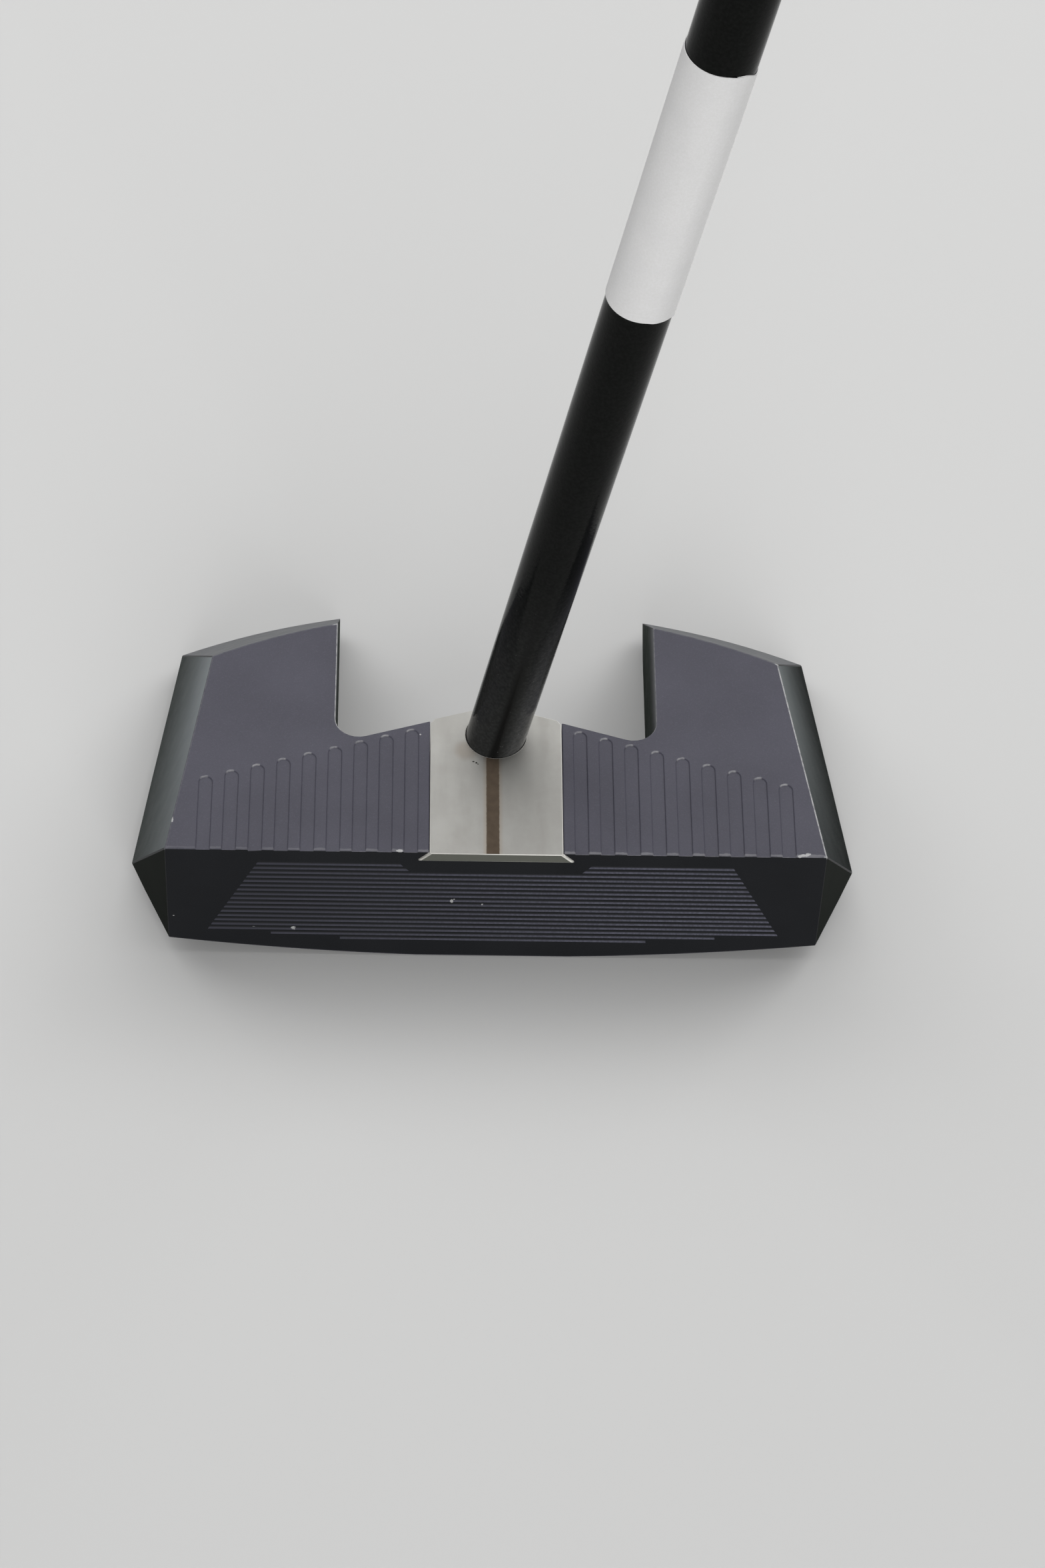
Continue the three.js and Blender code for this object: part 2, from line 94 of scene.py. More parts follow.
# The share of the full rounding that each kind of edge of the head gets
ROUND_SHARE = {"sole outside": 1.0, "sole in the notch": 0.4, "sole inside": 0.25, "slot edge": 0.3,
               "slot floor": 0.12, "facet": 0.15, "notch": 0.28, "elsewhere": 0.4, "none": 0.0}

# Shaft and label
LEAN = math.radians(10.5)
SHAFT_TIP_T = -13
SHAFT_BUTT_T = 857.4
TIP_RADIUS = 4.6
BUTT_RADIUS = 7.6
SHAFT_WALL = 0.9
SHAFT_CHAMFER = 0.25
LABEL_START = 98.1
LABEL_END = 144.9
LABEL_GAP = 0.06
LABEL_THICKNESS = 0.12
LABEL_FREE_EDGE = math.radians(-32)
LABEL_OVERLAP = math.radians(38)
LABEL_DIP = 1.5

# Grip
GRIP_START = 595.0
GRIP_END = 862.0
CAP_START = 857.9
GRIP_MOUTH_RADIUS = 12.4
GRIP_BUTT_RADIUS = 15.6
GRIP_FLAT_SHARE = 0.8    # the thumb side's distance from the axis, as a share of the radius
GRIP_WALL = 1.3
MOUTH_ROUNDING = 1.1
CORE_GAP = 0.12
TAPE_SPACE = 0.62
PANEL_DEPTH = 0.45
PANEL_HALF_TURN = 0.42
PANEL_START = GRIP_START + 18
PANEL_END = GRIP_END - 26
SEAM_HEIGHT = 0.12
SEAM_HALF_TURN = 0.02
VENT_RADIUS = 1.0

# The cap from its underside up the side, over the crown and down the vent: the share of the way
# from the vent to the rim, and the height above the cap's start
CAP_PROFILE = [(0.0, 0.0), (0.97, 0.0), (1.0, 0.15), (1.0, 2.9), (0.985, 3.45), (0.95, 3.8), (0.9, 3.95),
               (0.72, 4.1), (0.7, 3.85), (0.68, 4.12), (0.4, 4.18), (0.03, 4.2), (0.0, 4.1), (0.0, 0.1)]

# Camera, as fitted: its place in millimetres, its angles in degrees and its focal length in pixels
CAMERA_PLACE = (-16.042, -456.997, 573.094)
CAMERA_PITCH = 50.687
CAMERA_TURN = 2.578
CAMERA_ROLL = 2.816
FOCAL_PIXELS = 6802.7
IMAGE_PIXELS = 2352
SENSOR = 36

# Directions of the leaning shaft
ALONG = np.array([math.sin(LEAN), 0, math.cos(LEAN)])
TO_HEEL = np.array([math.cos(LEAN), 0, -math.sin(LEAN)])
TO_BACK = np.array([0, 1, 0])


# Finishes

class Finish:
    """A material with short ways to add nodes to its tree."""

    def __init__(self, name, color, roughness, metallic=0.0, **sockets):
        self.material = bpy.data.materials.new(name)
        self.material.use_nodes = True
        self.tree = self.material.node_tree
        self.shader = self.tree.nodes["Principled BSDF"]
        self.shader.inputs["Base Color"].default_value = (*color, 1)
        self.shader.inputs["Roughness"].default_value = roughness
        self.shader.inputs["Metallic"].default_value = metallic
        for key, value in sockets.items():
            self.shader.inputs[key.replace("_", " ")].default_value = value
        self.place = self.node("ShaderNodeTexCoord").outputs["Object"]

    def set(self, socket, value):
        if isinstance(value, bpy.types.NodeSocket):
            self.tree.links.new(value, socket)
        else:
            socket.default_value = value

    def node(self, kind, settings=None, **inputs):
        made = self.tree.nodes.new(kind)
        for key, value in (settings or {}).items():
            setattr(made, key, value)
        for key, value in inputs.items():
            self.set(made.inputs[key.replace("_", " ")], value)
        return made

    def math(self, operation, first, second=0.0, third=0.0):
        made = self.node("ShaderNodeMath", {"operation": operation})
        for socket, value in zip(made.inputs, (first, second, third)):
            self.set(socket, value)
        return made.outputs[0]

    def blend(self, share, first, second):
        """One colour turning into another as the share goes from 0 to 1."""
        made = self.node("ShaderNodeMix", {"data_type": "RGBA"})
        self.set(made.inputs[0], share)
        for socket, value in ((made.inputs[6], first), (made.inputs[7], second)):
            self.set(socket, value if isinstance(value, bpy.types.NodeSocket) else (*value, 1))
        return made.outputs[2]

    def rise(self, value, low, high, start=0.0, end=1.0):
        """A soft step from start to end while the value goes from low to high."""
        made = self.node("ShaderNodeMapRange", {"interpolation_type": "SMOOTHSTEP"})
        for key, number in (("Value", value), ("From Min", low), ("From Max", high),
                            ("To Min", start), ("To Max", end)):
            self.set(made.inputs[key], number)
        return made.outputs[0]

    def fall(self, value, low, high):
        """A soft step from 1 to 0 while the value goes from low to high."""
        return self.rise(value, low, high, 1.0, 0.0)

    def grain(self, size, detail, roughness=0.5, place=None):
        """Noise from 0 to 1 whose patches are about the given size in millimetres."""
        made = self.node("ShaderNodeTexNoise", Vector=place or self.place, Scale=1 / (size * MM),
                         Detail=detail, Roughness=roughness)
        return made.outputs["Fac"]

    def uneven(self, size, detail, amount):
        """Noise that swings round 0, by half of the amount to either side."""
        return self.product(self.math("SUBTRACT", self.grain(size, detail), 0.5), amount)

    def stretched(self, x, y, z):
        """The place in the piece with each direction scaled by its own factor."""
        return self.node("ShaderNodeMapping", Vector=self.place, Scale=(x, y, z)).outputs[0]

    def axes(self):
        made = self.node("ShaderNodeSeparateXYZ", Vector=self.place)
        return made.outputs[0], made.outputs[1], made.outputs[2]

    def near(self, point, radius):
        """1 at a point given in millimetres, falling to 0 at the radius."""
        away = self.node("ShaderNodeVectorMath", {"operation": "DISTANCE"})
        self.set(away.inputs[0], self.place)
        away.inputs[1].default_value = [value * MM for value in point]
        return self.fall(away.outputs["Value"], 0.4 * radius * MM, radius * MM)

    def blot(self, point, sizes, ragged=0.5):
        """1 inside a ragged oval with the given half sizes in millimetres round a point, 0 outside."""
        away = self.node("ShaderNodeVectorMath", {"operation": "SUBTRACT"})
        self.set(away.inputs[0], self.place)
        away.inputs[1].default_value = [value * MM for value in point]
        shrunk = self.node("ShaderNodeVectorMath", {"operation": "MULTIPLY"})
        self.set(shrunk.inputs[0], away.outputs[0])
        shrunk.inputs[1].default_value = [1 / (size * MM) for size in sizes]
        far = self.node("ShaderNodeVectorMath", {"operation": "LENGTH"})
        self.set(far.inputs[0], shrunk.outputs[0])
        return self.fall(self.math("ADD", far.outputs["Value"], self.uneven(0.35, 2, 2 * ragged)), 0.85, 1.1)

    def within(self, value, low, high, edge):
        """1 where a value in metres lies between two places in millimetres, with soft edges."""
        above = self.rise(value, (low - edge / 2) * MM, (low + edge / 2) * MM)
        below = self.fall(value, (high - edge / 2) * MM, (high + edge / 2) * MM)
        return self.product(above, below)

    def from_nearest(self, value, first, pitch):
        """How far a value lies from the nearest line of an even row, in metres. The row's first
        line and its pitch are in millimetres."""
        half = pitch / 2 * MM
        return self.math("WRAP", self.math("SUBTRACT", value, first * MM), half, -half)

    def product(self, first, *others):
        for other in others:
            first = self.math("MULTIPLY", first, other)
        return first

    def largest(self, first, *others):
        for other in others:
            first = self.math("MAXIMUM", first, other)
        return first

    def color(self, value):
        self.set(self.shader.inputs["Base Color"], value)

    def roughness(self, value):
        self.set(self.shader.inputs["Roughness"], value)

    def relief(self, height, depth, normal=None):
        """Bump whose full height is the given depth in millimetres."""
        made = self.node("ShaderNodeBump", Height=height, Distance=depth * MM, Strength=1.0)
        if normal:
            self.set(made.inputs["Normal"], normal)
        self.set(self.shader.inputs["Normal"], made.outputs[0])
        return made.outputs[0]


ANODISED = (0.0655, 0.0642, 0.0842)
# The face's tone, darker than the top: partly its finer milled finish, partly painted shade, as the face
# looks away from the light.
MILLED_AND_PAINTED_SHADE = (0.0163, 0.0172, 0.0194)
# Bare metal in the chips; the same colour also makes the painted highlights on the top and the rounded edges.
BARE_ALUMINIUM_AND_HIGHLIGHT = (0.5, 0.5, 0.5)
STEEL = (0.37, 0.363, 0.343)

# Chips in the dark layer: the place of each, and its half sizes along the three axes
CHIPS = [((47.5, -23.3, 26.5), (0.75, 0.22, 0.4)), ((48.1, -23.05, 26.5), (0.4, 0.22, 0.4)),
         ((46.8, -23.45, 26.5), (0.35, 0.2, 0.3)), ((51.0, -23.4, 26.4), (0.12, 0.3, 0.4)),
         ((-31.4, -23.6, 6.8), (0.42, 0.5, 0.42)), ((-37.6, -23.6, 7.0), (0.24, 0.5, 0.14)),
         ((-19.2, -23.6, 14.5), (0.2, 0.5, 0.16)), ((-50.1, -23.6, 9.6), (0.14, 0.5, 0.1)),
         ((-6.7, -23.6, 14.1), (0.24, 0.5, 0.3)), ((-6.3, -23.6, 14.5), (0.22, 0.5, 0.26)),
         ((-1.9, -23.6, 13.2), (0.16, 0.5, 0.14)), ((-14.9, -23.45, 26.5), (0.5, 0.25, 0.28)),
         ((-50.1, -17.9, 26.5), (0.2, 0.5, 0.2)), ((-11.9, -0.1, 26.5), (0.14, 0.14, 0.2)),
         ((25.4, -13.4, 26.5), (0.1, 0.22, 0.2))]


def scaled(color, factor):
    return tuple(factor * part for part in color)


def anodised_tone(finish, color):
    """A dark tone that drifts a little from patch to patch, with a fine speckle."""
    drift = finish.rise(finish.grain(14, 3), 0.3, 0.7)
    speckle = finish.grain(0.2, 3, 0.7)
    tone = finish.blend(drift, scaled(color, 0.93), scaled(color, 1.07))
    tone = finish.blend(finish.rise(speckle, 0.5, 0.85, 0.0, 0.5), tone, scaled(color, 2.0))
    return finish.blend(finish.rise(speckle, 0.2, 0.45, 0.35, 0.0), tone, scaled(color, 0.5))


def chipped(finish, tone):
    """Small dents that show bare metal, with ragged edges."""
    mark = finish.largest(*(finish.blot(point, sizes) for point, sizes in CHIPS))
    return finish.blend(finish.product(mark, 0.8), tone, BARE_ALUMINIUM_AND_HIGHLIGHT)


def behind_notch_floor(finish, x, y):
    """How far a place lies behind the line of the notch floor, in metres."""
    along = finish.product(finish.math("ABSOLUTE", x), NOTCH_SLOPE)
    line_at = (NOTCH_FLOOR_Y + NOTCH_SLOPE * BLOCK_HALF) * MM
    return finish.math("SUBTRACT", finish.math("ADD", y, along), line_at)


def slot_crest_highlight(finish, x, y):
    """1 along a short arc round each slot's rear end, at the crest and a little to its toe side,
    where a painted highlight goes.
    """
    aside = finish.math("ABSOLUTE", x)
    outward = finish.from_nearest(aside, SLOT_FIRST_X, SLOT_PITCH)
    leaning = finish.product(outward, NOTCH_SLOPE)
    behind = finish.math("SUBTRACT", behind_notch_floor(finish, x, y), leaning)
    ahead = finish.math("ADD", behind, (SLOT_REAR_MARGIN + SLOT_RADIUS) * MM)
    squares = finish.math("ADD", finish.math("POWER", outward, 2), finish.math("POWER", ahead, 2))
    arc = finish.within(finish.math("SQRT", squares), SLOT_RADIUS - 0.05, SLOT_RADIUS + 0.22, 0.1)
    to_heel = finish.product(outward, finish.math("SIGN", x))
    crest = finish.within(to_heel, -0.85, 0.3, 0.35)
    rear_half = finish.rise(ahead, 0.4 * MM, 0.7 * MM)
    slotted = finish.within(aside, SLOT_FIRST_X - 2, CROWN_REAR_HALF + 2, 0.2)
    return finish.product(arc, crest, rear_half, slotted)


def blasted_anodise():
    """The flat top, with a painted highlight along its front edge between the slots, growing
    towards the heel, and painted highlights at the slots' rear ends.
    """
    finish = Finish("blasted_anodise", ANODISED, 0.5, 0.0, Specular_IOR_Level=0.3)
    x, y, z = finish.axes()
    # The front edge of the lands gets a painted highlight that grows towards the heel.
    wavering = finish.math("ADD", y, finish.uneven(1.2, 3, 0.5 * MM))
    front = finish.fall(wavering, (FACE_Y + 0.3) * MM, (FACE_Y + 0.55) * MM)
    land = finish.product(front, finish.rise(x, -60 * MM, 10 * MM, 0.3, 1.0))
    # Each slot's rear end gets a painted highlight.
    crest = finish.product(slot_crest_highlight(finish, x, y), finish.rise(finish.grain(0.4, 2), 0.3, 0.6, 0.4, 1.0))
    wear_and_highlight_marks = finish.largest(finish.product(land, 0.2), finish.product(crest, 0.28))
    wear_and_highlight_marks = finish.product(wear_and_highlight_marks, finish.rise(z, (HEAD_HEIGHT - 0.1) * MM, (HEAD_HEIGHT - 0.05) * MM))
    tone = finish.blend(wear_and_highlight_marks, anodised_tone(finish, ANODISED), BARE_ALUMINIUM_AND_HIGHLIGHT)
    finish.color(chipped(finish, tone))
    finish.roughness(finish.rise(finish.grain(3, 3), 0.3, 0.7, 0.5, 0.54))
    finish.relief(finish.grain(0.16, 3, 0.6), 0.014)
    return finish.material


def anodise_with_painted_light_and_shade(name, low, high, power, front_share, ior):
    """The same layer where it is not on the top, with painted light and shade: its tone goes from the
    sole's, painted shade, to the top edge's, painted light, as a power of the height, and is weaker
    towards the face by the given share, as painted shade."""
    finish = Finish(name, low, 0.52, 0.0, IOR=ior)
    _, y, z = finish.axes()
    share = finish.math("POWER", finish.product(z, 1 / (HEAD_HEIGHT * MM)), power)
    share = finish.product(share, finish.rise(y, FACE_Y * MM, CROWN_REAR_Y * MM, front_share, 1.0))
    tone = finish.blend(share, low, high)
    speckle = finish.rise(finish.grain(0.25, 3, 0.7), 0.3, 0.8, 0.0, 0.3)
    finish.color(finish.blend(speckle, tone, finish.blend(0.5, tone, (0.2, 0.2, 0.2))))
    finish.roughness(finish.rise(finish.grain(3, 3), 0.3, 0.7, 0.5, 0.58))
    finish.relief(finish.grain(0.2, 3, 0.6), 0.02)
    return finish.material


def milled_face_and_painted_shade(name, color, ior):
    finish = Finish(name, color, 0.5, 0.0, IOR=ior)
    # A dark tone, partly the milled finish and partly painted shade, for the face and the darker corner
    # facets.
    finish.color(chipped(finish, anodised_tone(finish, color)))
    finish.relief(finish.grain(0.12, 2, 0.6, finish.stretched(0.15, 1, 1)), 0.006)
    return finish.material


def groove_flank():
    """The lower flank of each milled line: painted shade at its root and a painted highlight along its
    outer edge, most of all towards the heel, where the light comes from."""
    # dull and bright: the flank's tone at the toe end, painted shade, and at the heel end, painted highlight.
    dull = (0.045, 0.0455, 0.06)
    bright = (0.112, 0.113, 0.15)
    finish = Finish("groove_flank", ANODISED, 0.45, 0.0, IOR=1.15)
    x, _, z = finish.axes()
    tone = finish.blend(finish.rise(x, -50 * MM, 45 * MM), dull, bright)
    mottle = finish.rise(finish.grain(0.4, 3, 0.6), 0.38, 0.62, 0.0, 0.5)
    tone = finish.blend(mottle, tone, (0.045, 0.045, 0.06))
    # Painted shade in the root of each line.
    from_root = finish.from_nearest(z, GROOVE_FIRST_Z, GROOVE_PITCH)
    tone = finish.blend(finish.rise(from_root, -0.22 * MM, -0.08 * MM), tone, MILLED_AND_PAINTED_SHADE)
    finish.color(chipped(finish, tone))
    return finish.material


def arris_wear_and_highlight():
    """Rounded edges, paler in places: partly where the dark layer has rubbed thin and bare metal
    shows, partly painted highlight where an edge faces the light, most of all on the heel side.
    """
    finish = Finish("arris_wear_and_highlight", ANODISED, 0.42, 0.0, IOR=1.15)
    x, y, z = finish.axes()
    aside = finish.math("ABSOLUTE", x)
    high = finish.rise(z, (HEAD_HEIGHT - 0.6) * MM, (HEAD_HEIGHT - 0.3) * MM)
    at_heel = finish.rise(x, 0, 1 * MM)
    at_toe = finish.fall(x, -1 * MM, 0)
    to_side = finish.math("ADD", aside, finish.product(y, CROWN_SLOPE))
    side_at = CROWN_FRONT_HALF + CROWN_SLOPE * FACE_Y
    side = finish.product(finish.rise(to_side, (side_at - 0.6) * MM, (side_at - 0.3) * MM), high)
    rear = finish.product(finish.within(aside, NOTCH_HALF + 0.5, CROWN_REAR_HALF, 0.4),
                          finish.rise(y, (CROWN_REAR_Y - 1.5) * MM, (CROWN_REAR_Y - 0.5) * MM), high)
    notch = finish.product(finish.within(aside, NOTCH_HALF - 2.5, NOTCH_HALF + 0.3, 0.2), high,
                           finish.rise(y, -1 * MM, 1.5 * MM))
    notch_corner = finish.near((-NOTCH_HALF, CROWN_REAR_Y + 7.2, HEAD_HEIGHT), 1.2)
    notch_floor = finish.product(finish.within(behind_notch_floor(finish, x, y), -0.3, 1.5, 0.2), high)
    crest = finish.product(slot_crest_highlight(finish, x, y), high)
    front = finish.product(finish.fall(y, (FACE_Y + 0.3) * MM, (FACE_Y + 0.5) * MM), high,
                           finish.rise(x, -50 * MM, 10 * MM, 0.3, 1.0))
    # The strengths are painted highlight as much as wear: highest on the heel side's edge, the toe-side notch
    # edge and the notch corner, which face the light.
    wear_and_highlight_marks = ((finish.product(side, at_heel), 0.85), (finish.product(side, at_toe), 0.15), (rear, 0.15),
            (finish.product(notch, at_toe), 1.0), (finish.product(notch, at_heel), 0.3),
            (notch_corner, 0.9), (notch_floor, 0.08), (crest, 0.5), (front, 0.22))
    places = [finish.product(mask, strength) for mask, strength in wear_and_highlight_marks]
    patchy = finish.rise(finish.grain(1.1, 4, 0.6), 0.32, 0.62, 0.45, 1.0)
    rub_and_highlight = finish.product(finish.largest(*places, 0.02), patchy)
    # Edges below the top take the face's dark tone, painted shade, a little paler near the sole.
    lower = finish.blend(finish.rise(z, 1 * MM, 5 * MM), (0.04, 0.0395, 0.051), MILLED_AND_PAINTED_SHADE)
    plain = finish.blend(high, lower, anodised_tone(finish, ANODISED))
    finish.color(chipped(finish, finish.blend(rub_and_highlight, plain, BARE_ALUMINIUM_AND_HIGHLIGHT)))
    finish.relief(finish.grain(0.2, 3), 0.01)
    return finish.material


def satin_steel():
    """Bare steel with faint stains, a scorched sight line and a few dark specks."""
    finish = Finish("satin_steel", STEEL, 0.5, 1.0)
    x, y, z = finish.axes()
    cloud = finish.grain(5, 4, 0.6)
    smear = finish.grain(3, 3, 0.6, finish.stretched(1, 0.25, 1))
    tone = finish.blend(finish.rise(cloud, 0.35, 0.7), STEEL, (0.395, 0.39, 0.37))
    tone = finish.blend(finish.rise(smear, 0.5, 0.8, 0.0, 0.25), tone, (0.3, 0.29, 0.265))
    stain = finish.near((-4.6, -3.2, HEAD_HEIGHT), 2.6)
    tone = finish.blend(finish.product(stain, 0.35), tone, (0.22, 0.17, 0.12))
    streak = finish.within(x, 6.5, 8.0, 1.3)
    tone = finish.blend(finish.product(streak, 0.06), tone, (0.2, 0.19, 0.17))
    on_top = finish.product(finish.rise(z, (HEAD_HEIGHT - 0.2) * MM, (HEAD_HEIGHT - 0.1) * MM),
                            finish.fall(y, -0.5 * MM, 0.5 * MM))
    from_line = finish.math("ADD", x, 0.54 * MM)
    across = finish.math("ABSOLUTE", finish.math("ADD", from_line, finish.uneven(0.6, 2, 0.12 * MM)))
    halo = finish.product(finish.fall(across, 0.9 * MM, 1.8 * MM), on_top)
    tone = finish.blend(finish.product(halo, 0.35), tone, (0.28, 0.2, 0.12))
    line = finish.product(finish.fall(across, 0.93 * MM, 1.07 * MM), on_top)
    mottle = finish.blend(finish.grain(1.2, 3), (0.085, 0.063, 0.046), (0.145, 0.11, 0.08))
    tone = finish.blend(finish.product(line, 0.95), tone, mottle)
    specks = (((-3.55, -5.5, HEAD_HEIGHT), (0.2, 0.13, 0.3)), ((-3.1, -5.72, HEAD_HEIGHT), (0.14, 0.16, 0.3)),
              ((-2.85, -5.95, HEAD_HEIGHT), (0.12, 0.1, 0.3)))
    speckled = finish.largest(*(finish.blot(point, sizes, 0.35) for point, sizes in specks))
    finish.color(finish.blend(speckled, tone, (0.03, 0.028, 0.025)))
    satin = finish.rise(smear, 0.3, 0.7, 0.47, 0.53)
    finish.roughness(finish.math("ADD", satin, finish.product(line, 0.25)))
    finish.relief(finish.grain(0.18, 3, 0.6), 0.006)
    return finish.material


def steel_painted_lighter_to_heel(name, dark, light, metallic):
    """Steel edges and the lip, each with its own tone, painted lighter towards the heel, where the
    light comes from.
    """
    finish = Finish(name, light, 0.45, metallic)
    to_heel = finish.rise(finish.axes()[0], -4 * MM, 4 * MM, 0.1, 0.9)
    finish.color(finish.blend(finish.math("ADD", to_heel, finish.uneven(1.5, 3, 0.5)), dark, light))
    finish.relief(finish.grain(0.18, 3, 0.6), 0.006)
    return finish.material


def black_paint():
    """Semi-gloss paint whose surface is slightly pebbled. Near the head it is greyer, a painted reflection
    of the head that is strongest towards the heel, with a dark painted reflection down its middle.
    """
    finish = Finish("black_paint", (0.0055, 0.006, 0.0055), 0.17, 0.0, IOR=1.16)
    x, y, z = finish.axes()
    low = finish.fall(z, (HEAD_HEIGHT + 8) * MM, (HEAD_HEIGHT + 45) * MM)
    lean = finish.product(finish.math("SUBTRACT", z, HEAD_HEIGHT * MM), math.tan(LEAN))
    to_heel = finish.math("SUBTRACT", x, lean)
    front = finish.fall(y, -1 * MM, 0)
    # A dark painted reflection down the middle of the shaft's foot.
    streak = finish.product(finish.within(to_heel, -1.2, 0.1, 0.9), front, low)
    speckle = finish.rise(finish.grain(0.5, 3), 0.3, 0.75)
    upper = finish.blend(speckle, (0.004, 0.0045, 0.004), (0.0075, 0.008, 0.0075))
    # lower is the greyer tone of the painted reflection of the head, near the shaft's foot.
    lower = finish.blend(speckle, (0.045, 0.0455, 0.0455), (0.068, 0.0685, 0.0675))
    painted_foot_reflection = finish.product(low, finish.rise(to_heel, 0.3 * MM, 2.2 * MM, 0.3, 0.8),
                            finish.rise(finish.math("ABSOLUTE", to_heel), 0, 4 * MM, 0.8, 1.4))
    tone = finish.blend(streak, finish.blend(painted_foot_reflection, upper, lower), (0.008, 0.0082, 0.008))
    dust = finish.product(finish.rise(finish.grain(0.3, 1), 0.76, 0.82, 0.0, 0.5), low)
    finish.color(finish.blend(dust, tone, (0.25, 0.25, 0.24)))
    finish.roughness(finish.rise(finish.grain(8, 3), 0.3, 0.7, 0.1, 0.16))
    finish.relief(finish.grain(0.55, 2, 0.55), 0.02)
    return finish.material


def label_paper():
    """Plain matte paper with faint fibres and a few soft creases."""
    finish = Finish("label_paper", (0.91, 0.905, 0.905), 0.7, 0.0, Specular_IOR_Level=0.3)
    fibre = finish.grain(0.35, 4, 0.7)
    cloud = finish.grain(6, 3)
    tone = finish.blend(finish.rise(fibre, 0.3, 0.8), (0.88, 0.875, 0.87), (0.94, 0.937, 0.94))
    finish.color(finish.blend(finish.rise(cloud, 0.4, 0.8, 0.0, 0.3), tone, (0.82, 0.82, 0.825)))
    crease = finish.relief(finish.grain(4, 3, 0.5, finish.stretched(1, 1, 0.4)), 0.06)
    finish.relief(fibre, 0.012, crease)
    return finish.material


def sole_steel(name, color, roughness):
    finish = Finish(name, color, roughness, 1.0)
    finish.color(finish.blend(finish.grain(1.2, 3), color, scaled(color, 1.35)))
    finish.relief(finish.grain(0.15, 3, 0.6), 0.008)
    return finish.material


def grip_rubber():
    """Soft skin with small raised diamonds that follow the surface."""
    color = (0.022, 0.0225, 0.024)
    diamonds_round = 20
    diamonds_long = 66
    finish = Finish("grip_rubber", color, 0.62, 0.0, Specular_IOR_Level=0.4, Sheen_Weight=0.15)
    chart = finish.node("ShaderNodeSeparateXYZ", Vector=finish.node("ShaderNodeUVMap").outputs[0])
    around = finish.product(chart.outputs[0], 2 * math.pi * diamonds_round)
    along = finish.product(chart.outputs[1], 2 * math.pi * diamonds_long)
    rising = finish.math("SINE", finish.math("ADD", around, along))
    falling = finish.math("SINE", finish.math("SUBTRACT", around, along))
    diamonds = finish.rise(finish.product(rising, falling), -0.15, 0.3)
    fine = finish.grain(0.3, 3)
    finish.color(finish.blend(finish.rise(fine, 0.3, 0.8), color, (0.036, 0.037, 0.039)))
    finish.roughness(finish.rise(diamonds, 0, 1, 0.7, 0.55))
    pattern = finish.relief(diamonds, 0.12)
    finish.relief(fine, 0.02, pattern)
    return finish.material


def plain_rubber(name, color, grain_size, depth):
    finish = Finish(name, color, 0.75, 0.0, Specular_IOR_Level=0.3)
    cells = finish.grain(grain_size, 4, 0.6)
    finish.color(finish.blend(finish.rise(cells, 0.3, 0.75), color, scaled(color, 1.8)))
    finish.relief(cells, depth)
    return finish.material


def cloth_tape():
    finish = Finish("cloth_tape", (0.6, 0.55, 0.44), 0.85)
    weave = finish.node("ShaderNodeTexWave", {"bands_direction": "DIAGONAL"}, Vector=finish.place,
                        Scale=1 / (1.4 * MM), Distortion=1.5, Detail=2.0)
    finish.color(finish.blend(weave.outputs["Fac"], (0.52, 0.47, 0.37), (0.66, 0.61, 0.5)))
    finish.relief(weave.outputs["Fac"], 0.05)
    return finish.material


# Surfaces

def grid_faces(rows, columns, ring):
    """Four corner numbers for each cell of a grid of points whose columns close on themselves, and
    whose rows do so too in a ring."""
    down = np.arange(rows if ring else rows - 1)
    row, column = np.meshgrid(down, np.arange(columns), indexing="ij")
    next_row = (row + 1) % rows
    next_column = (column + 1) % columns
    corners = (row * columns + column, row * columns + next_column,
               next_row * columns + next_column, next_row * columns + column)
    return np.stack([corner.ravel() for corner in corners], axis=1)


def piece(name, points, finish, node, ring=True, sharp=SURFACE_CRISP):
    """A closed piece from a grid of points in metres: its last row joins its first in a ring, and
    otherwise a face closes each end. Its chart runs once round the columns and once along the
    rows. Rows that shrink to a point close there."""
    rows, columns = points.shape[:2]
    faces = grid_faces(rows, columns, ring).tolist()
    count = len(faces)
    if not ring:
        faces += [list(range(columns)), list(range((rows - 1) * columns, rows * columns))[::-1]]
    mesh = bpy.data.meshes.new(name)
    mesh.from_pydata(points.reshape(-1, 3).tolist(), [], faces)
    row, column = np.divmod(np.arange(count), columns)
    u = np.stack([column, column + 1, column + 1, column], axis=1) / columns
    v = np.stack([row, row, row + 1, row + 1], axis=1) / (rows - 1)
    flat = np.zeros((len(mesh.loops), 2))
    flat[:count * 4] = np.stack([u, v], axis=2).reshape(-1, 2)
    mesh.uv_layers.new(name="chart").data.foreach_set("uv", flat.ravel())
    body = bmesh.new()
    body.from_mesh(mesh)
    bmesh.ops.remove_doubles(body, verts=body.verts, dist=1e-7)
    bmesh.ops.recalc_face_normals(body, faces=body.faces)
    body.to_mesh(mesh)
    body.free()
    return finished(name, mesh, [finish], node, sharp)


def placed(name, data):
    made = bpy.data.objects.new(name, data)
    bpy.context.scene.collection.objects.link(made)
    return made


def finished(name, mesh, finishes, node, sharp):
    """Puts a mesh in the scene with its finishes, smooth but for edges sharper than an angle."""
    for finish in finishes:
        mesh.materials.append(finish)
    mesh.shade_smooth()
    mesh.set_sharp_from_angle(angle=sharp)
    made = placed(name, mesh)
    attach(made, "root")
    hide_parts(node)
    return made


def on_shaft(radius, angle, t):
    """Points at a distance t up the leaning axis from the flat top, and radius out from the axis at
    an angle that starts on the heel side and turns to the back."""
    radius, angle, t = np.broadcast_arrays(radius, angle, t)
    outward = (radius * np.cos(angle))[..., None] * TO_HEEL
    backward = (radius * np.sin(angle))[..., None] * TO_BACK
    return (t[..., None] * ALONG + outward + backward + np.array([0, 0, HEAD_HEIGHT])) * MM


